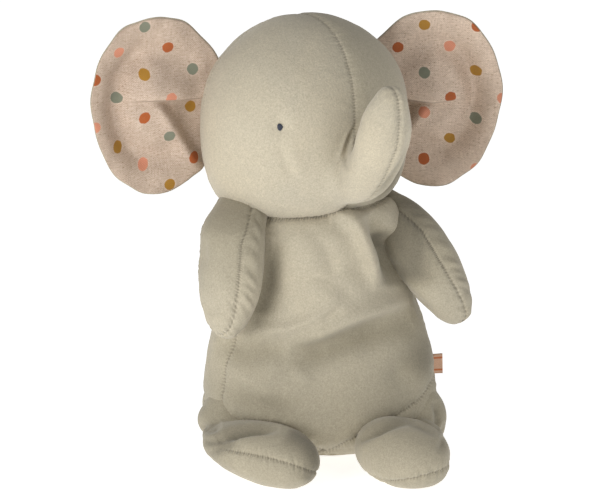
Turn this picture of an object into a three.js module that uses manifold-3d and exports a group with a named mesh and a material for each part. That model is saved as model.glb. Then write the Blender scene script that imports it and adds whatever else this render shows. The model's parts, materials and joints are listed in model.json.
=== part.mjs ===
// A stuffed cloth elephant, sitting on its flat base and facing -Y, with +Z up.
// Millimetres. The origin is the middle of the flat face it sits on.
// "right" and "left" are the elephant's own: its right hand is on the -X side.
// Each stuffed part is a cover of sewn panels (thin shells that meet at the seams) round its filling.

import * as THREE from 'three';
import { mergeVertices } from 'three/addons/utils/BufferGeometryUtils.js';
import Module from 'manifold-3d';

const wasm = await Module();
wasm.setup();

// ---------- driving dimensions ----------

const CLOTH = 1.6; // velour and its turned-in backing
const GAP = 0.3; // between pieces that touch
const SEAM = GAP / 2; // half of a seam's opening, on each side of its line
const SLACK = 3; // room kept between parts that flex against each other
const HIP_SLACK = 6;
const FAR = 400; // reaches past the whole toy
const DEGREE = Math.PI / 180;

const AROUND = 22; // facets round a stuffed part
const LIMB_AROUND = 14;
const ALONG = 8; // facets from one end of it to the other

const TORSO = {
  // half width at each height, from the middle of the seat to the middle of the neck
  outline: [
    [0, 0], [38, 0], [61, 6], [78, 21], [86, 42], [88, 66], [82, 99],
    [73, 130], [67, 156], [63, 173], [53, 182], [0, 184],
  ],
  depthShare: 0.68, // depth over width
  lean: 0.03, // how far it leans back for each millimetre of height
  widest: 88,
  seatRim: 8, // height of the seat panel's edge
};

const PELLET_BAG_TOP = 30; // the bag of pellets lies on the seat, under the filling
const NECK_RING = { radius: 44, thickness: 2.2, wall: 3, z: 187 };

const HEAD = {
  centre: [-8, 12, 262],
  turn: 21 * DEGREE, // the face looks this far round to the elephant's left
  halfWidth: 81,
  halfDepth: 72,
  above: 79,
  below: 71,
  bottomPower: 3.4,
  backSeam: 27, // how far behind the centre the side panels meet the back panel
};

const EYE = { radius: 2.6, height: 3.4, depth: 1.6, side: 43 * DEGREE, rise: 8 };

const TRUNK = {
  // along the trunk: forward of the head's centre, height above it, and radius
  stations: [
    [64, -40, 17], [76, -38, 21], [88, -31, 22.5], [98, -16, 22.5],
    [105, 2, 21], [110, 19, 18], [114, 33, 13.5], [116, 42, 8],
  ],
  tip: [117, 46],
  root: [56, -40],
  around: 14,
};

const EAR = {
  halfHeight: 67,
  halfWidth: 48,
  centreOut: 33, // from the root seam to the oval's middle
  rootChord: 3, // the oval is cut off this far out, where it is sewn in
  cup: 11, // how far the rim stands forward of the middle
  lining: 1, // linen face
  wadding: 2.2,
  waddingSpread: 0.93,
  back: 1.6, // velour back
  rings: 3,
  around: 22,
};

const EARS = [
  { side: 'right', root: -117 * DEGREE, points: -108 * DEGREE, height: 9 },
  { side: 'left', root: 96 * DEGREE, points: 60 * DEGREE, height: -4 },
];

const ARM = { halfWidth: 22, halfDepth: 27, above: 46, below: 60, taper: 0.1 };

const ARMS = [
  { side: 'right', centre: [-74, -46, 168], tilt: [-4 * DEGREE, 6 * DEGREE], turn: 34 * DEGREE },
  { side: 'left', centre: [79, -21, 159], tilt: [-4 * DEGREE, -29 * DEGREE], turn: 34 * DEGREE },
];

const THIGH = { halfWidth: 30, halfDepth: 32, above: 27, below: 27 };
const FOOT = { halfWidth: 37, halfDepth: 50, above: 24, below: 21.5, soleSeam: -7 };

const LEGS = [
  { side: 'right', thigh: [-75, -32, 28], foot: [-63, -74, 21.5], turn: 38 * DEGREE },
  { side: 'left', thigh: [66, -38, 28], foot: [46, -82, 21.5], turn: 12 * DEGREE },
];

const LABEL = { height: 15, proud: 6.5, thickness: 1.6, z: 66 };

// ---------- materials ----------

const velour = new THREE.MeshStandardMaterial({ color: 0xaaa592, roughness: 0.95, metalness: 0 });
const linen = new THREE.MeshStandardMaterial({ color: 0xcfbba3, roughness: 0.9, metalness: 0 });
const fibre = new THREE.MeshStandardMaterial({ color: 0xe9e6df, roughness: 1, metalness: 0 });
const thread = new THREE.MeshStandardMaterial({ color: 0x262a35, roughness: 0.6, metalness: 0 });
const tape = new THREE.MeshStandardMaterial({ color: 0xd9a27c, roughness: 0.8, metalness: 0 });

// ---------- making and cutting closed solids ----------

function solidOf(geometry) {
  const bare = geometry.clone();
  bare.deleteAttribute('normal');
  bare.deleteAttribute('uv');
  const merged = mergeVertices(bare, 1e-4);
  const vertProperties = new Float32Array(merged.attributes.position.array);
  const triVerts = new Uint32Array(merged.index.array);
  return new wasm.Manifold(new wasm.Mesh({ numProp: 3, vertProperties, triVerts }));
}

function geometryOf(solid) {
  const { vertProperties, triVerts } = solid.getMesh();
  const geometry = new THREE.BufferGeometry();
  geometry.setAttribute('position', new THREE.BufferAttribute(vertProperties, 3));
  geometry.setIndex(new THREE.BufferAttribute(triVerts, 1));
  geometry.computeVertexNormals();
  return geometry;
}

function place(geometry, group) {
  group.updateWorldMatrix(true, true);
  return geometry.clone().applyMatrix4(group.matrixWorld);
}

function bring(geometry, group) {
  group.updateWorldMatrix(true, true);
  return geometry.clone().applyMatrix4(group.matrixWorld.clone().invert());
}

// A block of space from one corner to the other: what a panel is kept inside.
function block([x0, y0, z0], [x1, y1, z1]) {
  const box = new THREE.BoxGeometry(x1 - x0, y1 - y0, z1 - z0);
  box.translate((x0 + x1) / 2, (y0 + y1) / 2, (z0 + z1) / 2);
  return solidOf(box);
}

// A profile of [radius, height] turned round Z and flattened front to back.
function turned(profile, depthShare, around = AROUND) {
  const points = profile.map(([radius, height]) => new THREE.Vector2(radius, height));
  const geometry = new THREE.LatheGeometry(points, around);
  geometry.rotateX(Math.PI / 2);
  geometry.scale(1, depthShare, 1);
  return geometry;
}

// A stuffed ovoid about its own centre. A power above 2 squares its shoulders.
function ovoid(shape, inset = 0, around = AROUND) {
  const { halfWidth, halfDepth, above, below, topPower = 2, bottomPower = 2, taper = 0 } = shape;
  const profile = [];
  for (let i = 0; i <= ALONG; i += 1) {
    const angle = (i / ALONG - 0.5) * Math.PI;
    const power = angle < 0 ? bottomPower : topPower;
    const reach = (angle < 0 ? below : above) - inset;
    const level = Math.sign(angle) * Math.abs(Math.sin(angle)) ** (2 / power);
    const radius = Math.abs(Math.cos(angle)) ** (2 / power) * (halfWidth - inset) * (1 - taper * level);
    profile.push([i % ALONG ? radius : 0, level * reach]);
  }
  return turned(profile, (halfDepth - inset) / (halfWidth - inset), around);
}

// The torso's shape, or the same shape set in or out by a wall.
function torsoShape(inset = 0) {
  const top = TORSO.outline[TORSO.outline.length - 1][1];
  const profile = TORSO.outline.map(([radius, height]) => [
    radius > 0 ? radius - inset : 0,
    THREE.MathUtils.clamp(height, inset, top - inset),
  ]);
  profile[0][1] = inset;
  profile[profile.length - 1][1] = top - inset;
  const geometry = turned(profile, TORSO.depthShare);
  const points = geometry.attributes.position;
  for (let i = 0; i < points.count; i += 1) {
    points.setY(i, points.getY(i) + TORSO.lean * points.getZ(i));
  }
  return geometry;
}

// The trunk, a horn that leaves the face and curls up in front of it.
function trunkShape(inset = 0) {
  const { stations, tip, root, around } = TRUNK;
  const line = stations.map(([out, up]) => new THREE.Vector3(0, -out, up));
  const curve = new THREE.CatmullRomCurve3(line);
  const vertices = [0, -root[0] - inset, root[1]];
  stations.forEach(([, , radius], i) => {
    const along = curve.getTangent(i / (stations.length - 1));
    const across = new THREE.Vector3(1, 0, 0);
    const over = new THREE.Vector3().crossVectors(along, across);
    for (let j = 0; j < around; j += 1) {
      const angle = (j / around) * 2 * Math.PI;
      const point = line[i].clone();
      point.addScaledVector(across, (radius - inset) * Math.cos(angle));
      point.addScaledVector(over, (radius - inset) * Math.sin(angle));
      vertices.push(point.x, point.y, point.z);
    }
  });
  vertices.push(0, -tip[0], tip[1] - inset);
  return ringsToGeometry(vertices, stations.length, around);
}

// Closes a stack of rings, with one point before the first ring and one after the last.
function ringsToGeometry(vertices, rings, around) {
  const faces = [];
  const last = 1 + rings * around;
  for (let j = 0; j < around; j += 1) {
    const next = (j + 1) % around;
    faces.push(0, 1 + next, 1 + j);
    for (let i = 0; i < rings - 1; i += 1) {
      const a = 1 + i * around;
      const b = a + around;
      faces.push(a + j, a + next, b + next, a + j, b + next, b + j);
    }
    faces.push(last, last - around + j, last - around + next);
  }
  const geometry = new THREE.BufferGeometry();
  geometry.setAttribute('position', new THREE.Float32BufferAttribute(vertices, 3));
  geometry.setIndex(faces);
  return geometry;
}

// One layer of an ear, between two distances behind the linen's face.
// The ear lies in X (out from the root) and Z, and its linen looks to -Y.
// spread is how much of the whole oval the layer fills.
function earLayer(from, to, spread) {
  const { halfHeight, halfWidth, centreOut, rootChord, cup, rings, around } = EAR;
  const pointAt = (angle, share, depth) => {
    const x = Math.max(centreOut + halfWidth * share * Math.cos(angle), rootChord + depth);
    const z = halfHeight * share * Math.sin(angle);
    return [x, depth - cup * share ** 2 * (0.55 + 0.45 * Math.cos(angle)), z];
  };
  const vertices = [centreOut, from, 0];
  const shares = Array.from({ length: rings }, (_, i) => (spread * (i + 1)) / rings);
  const front = shares.map((share) => [share, from]);
  const rear = shares.map((share) => [share, to]).reverse();
  [...front, ...rear].forEach(([share, depth]) => {
    for (let j = 0; j < around; j += 1) {
      vertices.push(...pointAt((-j / around) * 2 * Math.PI, share, depth));
    }
  });
  vertices.push(centreOut, to, 0);
  return ringsToGeometry(vertices, 2 * rings, around);
}

// ---------- the scene ----------

const group = new THREE.Group();

function add(name, geometry, material, parent = group) {
  const mesh = new THREE.Mesh(geometry, material);
  mesh.name = name;
  parent.add(mesh);
}

function groupAt([x, y, z], turn = 0, parent = group) {
  const made = new THREE.Group();
  made.position.set(x, y, z);
  made.rotation.order = 'ZYX';
  made.rotation.z = turn;
  parent.add(made);
  return made;
}

function shellOf(shape) {
  return solidOf(shape(0)).subtract(solidOf(shape(CLOTH)));
}

const WITHIN = CLOTH + GAP; // how far in a filling starts

// ---------- torso ----------

function addTorso() {
  const shell = shellOf(torsoShape);
  const rim = TORSO.seatRim;
  const above = rim + SEAM;
  const panels = {
    body_front_panel: block([-FAR, -FAR, above], [FAR, -SEAM, FAR]),
    body_back_right_panel: block([-FAR, SEAM, above], [-SEAM, FAR, FAR]),
    body_back_left_panel: block([SEAM, SEAM, above], [FAR, FAR, FAR]),
    seat_panel: block([-FAR, -FAR, -FAR], [FAR, FAR, rim - SEAM]),
  };
  Object.entries(panels).forEach(([name, space]) => {
    add(name, geometryOf(shell.intersect(space)), velour);
  });

  const inside = solidOf(torsoShape(WITHIN));
  const low = block([-FAR, -FAR, -FAR], [FAR, FAR, PELLET_BAG_TOP - SEAM]);
  const high = block([-FAR, -FAR, PELLET_BAG_TOP + SEAM], [FAR, FAR, FAR]);
  add('pellet_bag', geometryOf(inside.intersect(low)), linen);
  add('body_filling', geometryOf(inside.intersect(high)), fibre);

  const { radius, thickness, wall, z } = NECK_RING;
  const ring = [
    [radius - wall, -thickness / 2],
    [radius, -thickness / 2],
    [radius, thickness / 2],
    [radius - wall, thickness / 2],
    [radius - wall, -thickness / 2],
  ];
  add('neck_seam_ring', turned(ring, TORSO.depthShare), velour, groupAt([-2, 6, z]));
}

// ---------- head, trunk, eyes and ears ----------

function addHead(head) {
  const shell = shellOf((inset) => ovoid(HEAD, inset));
  const seam = HEAD.backSeam;
  const panels = {
    head_right_panel: block([-FAR, -FAR, -FAR], [-SEAM, seam - SEAM, FAR]),
    head_left_panel: block([SEAM, -FAR, -FAR], [FAR, seam - SEAM, FAR]),
    head_back_panel: block([-FAR, seam + SEAM, -FAR], [FAR, FAR, FAR]),
  };
  Object.entries(panels).forEach(([name, space]) => {
    add(name, geometryOf(shell.intersect(space)), velour, head);
  });
  add('head_filling', ovoid(HEAD, WITHIN), fibre, head);
}

function addTrunk(head) {
  const faceRoom = solidOf(ovoid(HEAD, -SLACK));
  const shell = shellOf(trunkShape).subtract(faceRoom);
  const panels = {
    trunk_right_panel: block([-FAR, -FAR, -FAR], [-SEAM, FAR, FAR]),
    trunk_left_panel: block([SEAM, -FAR, -FAR], [FAR, FAR, FAR]),
  };
  Object.entries(panels).forEach(([name, space]) => {
    add(name, geometryOf(shell.intersect(space)), velour, head);
  });
  const filling = solidOf(trunkShape(WITHIN)).subtract(faceRoom);
  add('trunk_filling', geometryOf(filling), fibre, head);
}

function addEyes(head) {
  ['right', 'left'].forEach((side) => {
    const angle = (side === 'right' ? -1 : 1) * EYE.side;
    const level = Math.sqrt(1 - (EYE.rise / HEAD.above) ** 2);
    const x = HEAD.halfWidth * Math.sin(angle) * level;
    const y = -HEAD.halfDepth * Math.cos(angle) * level;
    const eye = groupAt([x, y, EYE.rise], angle, head);
    const knot = { halfWidth: EYE.radius, halfDepth: EYE.depth, above: EYE.height, below: EYE.height };
    const proud = solidOf(place(ovoid(knot, 0, 14), eye)).subtract(solidOf(place(ovoid(HEAD, -GAP), head)));
    add(`eye_${side}`, bring(geometryOf(proud), eye), thread, eye);
  });
}

function addEars(head) {
  EARS.forEach(({ side, root, points, height }) => {
    const out = 1 + SLACK / HEAD.halfWidth;
    const x = HEAD.halfWidth * Math.sin(root) * out;
    const y = -HEAD.halfDepth * Math.cos(root) * out;
    const ear = groupAt([x, y, height], 0, head);
    const toEarSide = side === 'right' ? mirror : (layer) => layer;
    ear.rotation.z = side === 'right' ? points + Math.PI / 2 : points - Math.PI / 2;
    const wadding = EAR.lining + GAP;
    const back = wadding + EAR.wadding + GAP;
    const layers = {
      lining: [linen, earLayer(0, EAR.lining, 1)],
      wadding: [fibre, earLayer(wadding, wadding + EAR.wadding, EAR.waddingSpread)],
      back: [velour, earLayer(back, back + EAR.back, 1)],
    };
    Object.entries(layers).forEach(([layer, [material, geometry]]) => {
      add(`ear_${side}_${layer}`, toEarSide(geometry), material, ear);
    });
  });
}

// The same shape on the other side of the X = 0 plane, still facing out.
function mirror(geometry) {
  const made = geometry.clone();
  const points = made.attributes.position;
  for (let i = 0; i < points.count; i += 1) {
    points.setX(i, -points.getX(i));
  }
  const faces = Array.from(made.index.array);
  made.setIndex(faces.map((_, i) => faces[i - (i % 3) + 2 - (i % 3)]));
  return made;
}

// ---------- arms and legs ----------

// A stuffed part in its own group: panels cut from its cover, then its filling.
// shape(inset) gives its solid, and cutters are the rooms that its neighbours need.
function addLimb(name, parts, shape, limb, cutters) {
  const trim = (solid) => cutters.reduce((rest, cutter) => rest.subtract(cutter), solid);
  const shell = trim(shape(0).subtract(shape(CLOTH)));
  Object.entries(parts).forEach(([part, space]) => {
    add(`${name}_${part}`, geometryOf(shell.intersect(space)), velour, limb);
  });
  add(`${name}_filling`, geometryOf(trim(shape(WITHIN))), fibre, limb);
}

// The two sides of a limb's lengthwise seam, above a height, by which one faces out.
function sidePanels(side, above = -FAR) {
  const right = block([-FAR, -FAR, above], [-SEAM, FAR, FAR]);
  const left = block([SEAM, -FAR, above], [FAR, FAR, FAR]);
  return side === 'right'
    ? { outer_panel: right, inner_panel: left }
    : { outer_panel: left, inner_panel: right };
}

function addArms(head) {
  ARMS.forEach(({ side, centre, tilt, turn }) => {
    const arm = groupAt(centre);
    arm.rotation.set(tilt[0], tilt[1], turn, 'XYZ');
    const shape = (inset) => solidOf(ovoid(ARM, inset, LIMB_AROUND));
    const torsoRoom = solidOf(bring(torsoShape(-SLACK), arm));
    const headRoom = solidOf(bring(place(ovoid(HEAD, -SLACK), head), arm));
    addLimb(`arm_${side}`, sidePanels(side), shape, arm, [torsoRoom, headRoom]);
  });
}

function addLegs() {
  LEGS.forEach(({ side, foot, turn, thigh }) => {
    const leg = groupAt(foot, turn);
    const hip = groupAt(thigh, 0);
    const shape = (inset) => {
      const upper = bring(place(ovoid(THIGH, inset, LIMB_AROUND), hip), leg);
      return solidOf(ovoid(FOOT, inset, LIMB_AROUND)).add(solidOf(upper));
    };
    const parts = {
      ...sidePanels(side, FOOT.soleSeam + SEAM),
      sole_panel: block([-FAR, -FAR, -FAR], [FAR, FAR, FOOT.soleSeam - SEAM]),
    };
    addLimb(`leg_${side}`, parts, shape, leg, [solidOf(bring(torsoShape(-HIP_SLACK), leg))]);
  });
}

// ---------- the sewn-in side label ----------

function addLabel() {
  const { height, proud, thickness, z } = LABEL;
  const shape = new THREE.Shape();
  const half = thickness / 2;
  shape.moveTo(0, -half);
  shape.lineTo(proud - half, -half);
  shape.absarc(proud - half, 0, half, -Math.PI / 2, Math.PI / 2, false);
  shape.lineTo(0, half);
  const geometry = new THREE.ExtrudeGeometry(shape, { depth: height, bevelEnabled: false, curveSegments: 6 });
  const edge = TORSO.widest + 4 * GAP;
  add('side_label', geometry, tape, groupAt([edge, TORSO.lean * z, z - height / 2]));
}

const head = groupAt(HEAD.centre, HEAD.turn);
addTorso();
addHead(head);
addTrunk(head);
addEyes(head);
addEars(head);
addArms(head);
addLegs();
addLabel();

export default group;
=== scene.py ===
"""A stuffed cloth elephant: its covers, seams, folds and fabrics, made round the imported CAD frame.
Lengths are in millimetres until mesh_object() turns them into metres.
"""

import json
import math

import bpy
import numpy as np
from mathutils import Matrix, Vector, noise


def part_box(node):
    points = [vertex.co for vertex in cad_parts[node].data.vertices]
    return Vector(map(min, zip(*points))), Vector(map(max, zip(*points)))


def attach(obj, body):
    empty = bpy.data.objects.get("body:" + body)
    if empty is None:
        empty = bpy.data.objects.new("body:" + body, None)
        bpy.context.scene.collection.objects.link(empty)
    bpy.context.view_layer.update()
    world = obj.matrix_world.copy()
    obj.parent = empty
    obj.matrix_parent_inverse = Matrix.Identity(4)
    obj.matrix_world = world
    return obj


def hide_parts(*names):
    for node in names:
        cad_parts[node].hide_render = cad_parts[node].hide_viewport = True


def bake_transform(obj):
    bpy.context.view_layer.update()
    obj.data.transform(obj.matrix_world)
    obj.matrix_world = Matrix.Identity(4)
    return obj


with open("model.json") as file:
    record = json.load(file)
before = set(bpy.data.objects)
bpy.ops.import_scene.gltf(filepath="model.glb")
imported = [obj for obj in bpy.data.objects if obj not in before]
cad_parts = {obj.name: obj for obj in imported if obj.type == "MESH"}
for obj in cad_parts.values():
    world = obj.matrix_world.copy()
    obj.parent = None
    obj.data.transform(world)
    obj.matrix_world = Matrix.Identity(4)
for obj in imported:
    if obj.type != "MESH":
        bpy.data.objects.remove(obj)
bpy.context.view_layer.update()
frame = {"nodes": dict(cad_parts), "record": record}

MM = 0.001
DEGREE = math.pi / 180


# ----- places taken from the frame -----

def node_box(*names):
    """The lowest and highest corner of CAD nodes together, in millimetres."""
    lows, highs = zip(*(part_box(name) for name in names))
    return np.min(np.array(lows), 0) / MM, np.max(np.array(highs), 0) / MM


def joint_place(name):
    """A joint's point in millimetres."""
    place = next(j for j in frame["record"]["behaviour"]["joints"] if j["name"] == name)
    return np.array(place["pos_m"]) / MM


HEAD_TURN = 21 * DEGREE
HEAD_PANELS = ("head_right_panel", "head_left_panel", "head_back_panel")
HEAD_ABOVE = 79  # from the head's middle to its top
head_low, head_high = node_box(*HEAD_PANELS)
HEAD_CENTRE = np.array([*(head_low + head_high)[:2] / 2, head_high[2] - HEAD_ABOVE])

FACE_OUT = np.array([math.sin(HEAD_TURN), -math.cos(HEAD_TURN), 0])
FACE_SIDE = np.array([math.cos(HEAD_TURN), math.sin(HEAD_TURN), 0])
UP = np.array([0.0, 0.0, 1.0])

# The toy is shown from its right and above. Places on this show side are (across, up) in the
# plane that faces it.
SHOW_TURN, SHOW_RISE = -12 * DEGREE, 15 * DEGREE
SHOW_ACROSS = np.array([math.cos(SHOW_TURN), math.sin(SHOW_TURN), 0])
SHOW_BACK = np.array([
    math.sin(SHOW_TURN) * math.cos(SHOW_RISE),
    -math.cos(SHOW_TURN) * math.cos(SHOW_RISE),
    math.sin(SHOW_RISE),
])
SHOW_UP = np.cross(SHOW_BACK, SHOW_ACROSS)
SHOW_MIDDLE = (-13.5, 154.3)


# ----- camera -----

link = bpy.context.scene.collection.objects.link


def make_camera():
    lens, sensor, width = 600, 36, 450
    middle = SHOW_MIDDLE[0] * SHOW_ACROSS + SHOW_MIDDLE[1] * SHOW_UP
    place = (middle + SHOW_BACK * width * lens / sensor) * MM
    camera = bpy.data.objects.new("camera", bpy.data.cameras.new("camera"))
    camera.data.lens = lens
    camera.data.sensor_width = sensor
    camera.data.clip_end = 50
    turn = Matrix((SHOW_ACROSS, SHOW_UP, SHOW_BACK)).transposed()
    camera.matrix_world = Matrix.Translation(place) @ turn.to_4x4()
    link(camera)
    bpy.context.scene.camera = camera


make_camera()


# ----- meshes -----

def lengths(vectors):
    return np.linalg.norm(vectors, axis=1)


def clamp(value):
    return np.clip(value, 0, 1)


def mesh_object(name, points, faces):
    """An object from points in millimetres and the corners of faces."""
    mesh = bpy.data.meshes.new(name)
    corners = [tuple(map(int, face)) for face in faces]
    mesh.from_pydata([tuple(p) for p in np.asarray(points) * MM], [], corners)
    mesh.validate()
    made = bpy.data.objects.new(name, mesh)
    link(made)
    smooth(made)
    return made


def smooth(obj):
    obj.data.polygons.foreach_set("use_smooth", [True] * len(obj.data.polygons))
    obj.data.update()


def vectors(items, key):
    values = np.zeros(len(items) * 3, np.float32)
    items.foreach_get(key, values)
    return values.reshape(-1, 3).astype(float)


def points_of(obj):
    return vectors(obj.data.vertices, "co") / MM


def put_points(obj, points):
    obj.data.vertices.foreach_set("co", (points * MM).astype(np.float32).ravel())
    obj.data.update()


def mark(obj, name, values):
    """Gives obj's points an attribute for the materials, a number or a vector each."""
    kind, key = ("FLOAT", "value") if values.ndim == 1 else ("FLOAT_VECTOR", "vector")
    made = obj.data.attributes.new(name, kind, "POINT")
    made.data.foreach_set(key, values.astype(np.float32).ravel())


def apply_modifiers(obj):
    """Leaves obj with the mesh that its modifiers make."""
    shown = obj.evaluated_get(bpy.context.evaluated_depsgraph_get())
    mesh = bpy.data.meshes.new_from_object(shown)
    obj.modifiers.clear()
    obj.data = mesh
    smooth(obj)


def subdivide(obj, levels):
    refine = obj.modifiers.new("refine", "SUBSURF")
    refine.levels = refine.render_levels = levels
    apply_modifiers(obj)


def remesh(obj, voxel):
    """Fuses what crosses inside obj into an even grid of voxel millimetres."""
    fuse = obj.modifiers.new("fuse", "REMESH")
    fuse.mode = "VOXEL"
    fuse.voxel_size = voxel * MM
    apply_modifiers(obj)


def join_meshes(name, parts):
    points, faces, before = [], [], 0
    for part_points, part_faces in parts:
        points.append(part_points)
        faces.extend([[corner + before for corner in face] for face in part_faces])
        before += len(part_points)
    return mesh_object(name, np.concatenate(points), faces)


def ring_faces(rings, around):
    """Faces of a stack of rings, closed by one point before them and one after."""
    last = 1 + rings * around
    faces = []
    for j in range(around):
        k = (j + 1) % around
        faces.append((0, 1 + k, 1 + j))
        faces.append((last, last - around + j, last - around + k))
        for i in range(rings - 1):
            a, b = 1 + i * around, 1 + (i + 1) * around
            faces.append((a + j, a + k, b + k, b + j))
    return faces


def ovoid(along, around, half_width, half_depth, above, below, top_power=2, bottom_power=2, taper=0):
    """An ovoid about its own centre. A power above 2 squares its shoulders."""
    angle = (np.arange(1, along) / along - 0.5) * math.pi
    power = np.where(angle < 0, bottom_power, top_power)
    level = np.sign(angle) * np.abs(np.sin(angle)) ** (2 / power)
    radius = np.cos(angle) ** (2 / power) * (1 - taper * level)
    height = level * np.where(angle < 0, below, above)
    turn = np.arange(around) / around * 2 * math.pi
    x = half_width * radius[:, None] * np.cos(turn)
    y = half_depth * radius[:, None] * np.sin(turn)
    z = np.repeat(height[:, None], around, 1)
    rings = np.stack([x, y, z], 2).reshape(-1, 3)
    points = np.concatenate([[[0, 0, -below]], rings, [[0, 0, above]]])
    return points, ring_faces(along - 1, around)


def horn(line, radii, around):
    """A tapering round horn along a line of points, closed at both ends."""
    line = np.asarray(line, float)
    ahead = np.gradient(line, axis=0)
    ahead /= lengths(ahead)[:, None]
    side = FACE_SIDE
    over = np.cross(ahead, side)
    turn = np.arange(around) / around * 2 * math.pi
    rings = [
        line[i] + broad * np.cos(turn)[:, None] * side + thick * np.sin(turn)[:, None] * over[i]
        for i, (broad, thick) in list(enumerate(radii))[1:-1]
    ]
    points = np.concatenate([line[:1], *rings, line[-1:]])
    return points, ring_faces(len(rings), around)


def spline(points, steps):
    """A smooth line through points, steps per stretch."""
    p = np.asarray(points, float)
    p = np.concatenate([[2 * p[0] - p[1]], p, [2 * p[-1] - p[-2]]])
    out = []
    for i in range(1, len(p) - 2):
        for t in np.arange(steps) / steps:
            a, b, c, d = p[i - 1 : i + 3]
            out.append(0.5 * (
                2 * b + (c - a) * t + (2 * a - 5 * b + 4 * c - d) * t ** 2
                + (3 * b - a - 3 * c + d) * t ** 3
            ))
    return np.array([*out, p[-2]])


def turned_about_z(points, angle):
    c, s = math.cos(angle), math.sin(angle)
    return points @ np.array([[c, s, 0], [-s, c, 0], [0, 0, 1]])


# ----- filling a cover by simulation -----

def settle(obj, pins, cap, pressure=4.0, frames=20):
    """Fills a cover by cloth under pressure, held where pins is 1, and moved by cap at most."""
    before = points_of(obj)
    held = obj.vertex_groups.new(name="held")
    for i in np.nonzero(pins > 0.02)[0]:
        held.add([int(i)], float(pins[i]), "REPLACE")
    cloth = obj.modifiers.new("cloth", "CLOTH")
    fabric = cloth.settings
    fabric.use_pressure = True
    fabric.uniform_pressure_force = pressure
    fabric.effector_weights.gravity = 0
    fabric.quality = 5
    fabric.mass = 0.3
    fabric.tension_stiffness = fabric.compression_stiffness = 15
    fabric.bending_stiffness = 0.5
    fabric.vertex_group_mass = "held"
    fabric.shrink_min = -0.01
    cloth.collision_settings.use_collision = False
    cloth.point_cache.frame_start, cloth.point_cache.frame_end = 1, frames
    for number in range(1, frames + 1):
        bpy.context.scene.frame_set(number)
    apply_modifiers(obj)
    bpy.context.scene.frame_set(1)
    moved = points_of(obj) - before
    far = lengths(moved)
    moved *= (np.minimum(far, cap) / np.maximum(far, 1e-9))[:, None]
    put_points(obj, before + moved)


# ----- sculpting: seams, folds, lumps and painted shade -----

def bell(distance, width):
    return np.exp(-((distance / width) ** 2))


def line_distance(points, line):
    """How far each point is from a line of points, and how far along the line that is."""
    line = np.asarray(line, float)
    best = np.full(len(points), 1e9)
    along = np.zeros(len(points))
    passed = 0.0
    for a, b in zip(line[:-1], line[1:]):
        step = b - a
        length = np.linalg.norm(step)
        t = clamp((points - a) @ step / length ** 2)
        d = lengths(points - a - t[:, None] * step)
        closer = d < best
        best[closer] = d[closer]
        along[closer] = passed + t[closer] * length
        passed += length
    return best, along


def soft_step(value):
    return 1 / (1 + np.exp(-np.clip(value, -30, 30)))


def end_taper(along, total, fade):
    """1 along most of a line's length, going to 0 over a share of it at both ends."""
    return clamp(np.minimum(along, total - along) / (fade * total + 1e-6))


def ripple(position, length, seed):
    """Uneven ripples of about a given length along a seam, from -1 to 1."""
    at = position * 2 * math.pi / length
    mix = np.sin(at + 1.7 * np.sin(at * 0.23 + seed)) + 0.6 * np.sin(at * 0.61 + 2.1 * seed)
    return mix / 1.6


def lumps(points, size, seed):
    """Smooth random swellings of about a given size, from -1 to 1."""
    return np.array([noise.noise(Vector(p / size) + Vector((seed, 2.3 * seed, -seed))) for p in points])


class Sculpt:
    """Moves a cover's surface in and out, and marks its seams and the shade painted on it for the fabric
    to use.
    """

    def __init__(self, obj):
        self.obj = obj
        self.points = points_of(obj)
        self.normals = vectors(obj.data.vertex_normals, "vector")
        self.out = np.zeros(len(self.points))
        self.gap = np.full(len(self.points), 9.0)
        self.along = np.zeros(len(self.points))
        self.tone = np.zeros(len(self.points))
        self.flat = np.stack([self.points @ SHOW_ACROSS, self.points @ SHOW_UP], 1)
        self.shown = clamp(self.normals @ SHOW_BACK * 2.5 + 0.2)

    def near_line(self, line):
        """line_distance on the show side, and the line's length."""
        near, along = line_distance(self.flat, line)
        return near, along, lengths(np.diff(line, axis=0)).sum()

    def seam(self, distance, position, keep=1.0, depth=1.5, width=1.6, valley=6.0, pucker=0.35,
             length=7, seed=1.0):
        """A stitched line: a narrow nick in a wide soft valley, with the cloth drawn up in puckers."""
        near = np.abs(distance)
        self.out -= keep * (depth * 0.55 * bell(near, width) + depth * 0.45 * bell(near, valley))
        drawn = ripple(position, length, seed) * bell(near - width, valley * 0.8)
        self.out += keep * pucker * drawn
        nearer = (near < self.gap) & (np.broadcast_to(keep, near.shape) > 0.35)
        self.gap = np.where(nearer, near, self.gap)
        self.along = np.where(nearer, position, self.along)

    def fold(self, line, height, width, steep=1.0, fade=0.3):
        """A ridge (or with a negative height a crease) along a line on the show side.
        steep above 1 narrows the side that lies to the right of the line."""
        line = spline(line, 6)
        near, along, total = self.near_line(line)
        stations = np.linspace(0, total, len(line))
        nearest, heading = (
            np.stack([np.interp(along, stations, values[:, k]) for k in range(2)], 1)
            for values in (line, np.gradient(line, axis=0))
        )
        away = self.flat - nearest
        right = (away[:, 0] * heading[:, 1] - away[:, 1] * heading[:, 0]) > 0
        reach = np.where(right, width / steep, width)
        self.out += self.shown * height * bell(near, reach) * end_taper(along, total, fade) ** 0.7

    def stitched_line(self, line, **look):
        """A seam along a line on the show side."""
        near, along, _ = self.near_line(spline(line, 5))
        self.seam(near, along, keep=clamp(self.normals @ SHOW_BACK * 4 + 0.4), **look)

    def shade(self, line, width, amount, fade=0.3):
        """Painted shade along a line on the show side."""
        near, along, total = self.near_line(spline(line, 5))
        self.tone = self.tone + self.shown * amount * bell(near, width) * end_taper(along, total, fade)

    def bump(self, place, radius, height):
        """A round swelling or dent at a place on the show side."""
        near = lengths(self.flat - place)
        self.out += self.shown * height * bell(near, radius)

    def lump(self, size, height, seed):
        self.out += height * lumps(self.points, size, seed)

    def done(self):
        put_points(self.obj, self.points + self.normals * self.out[:, None])
        mark(self.obj, "seam_gap", self.gap)
        mark(self.obj, "seam_along", self.along)
        # painted shade, together with another panel's tone
        mark(self.obj, "panel_and_painted_shade", self.tone)


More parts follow.
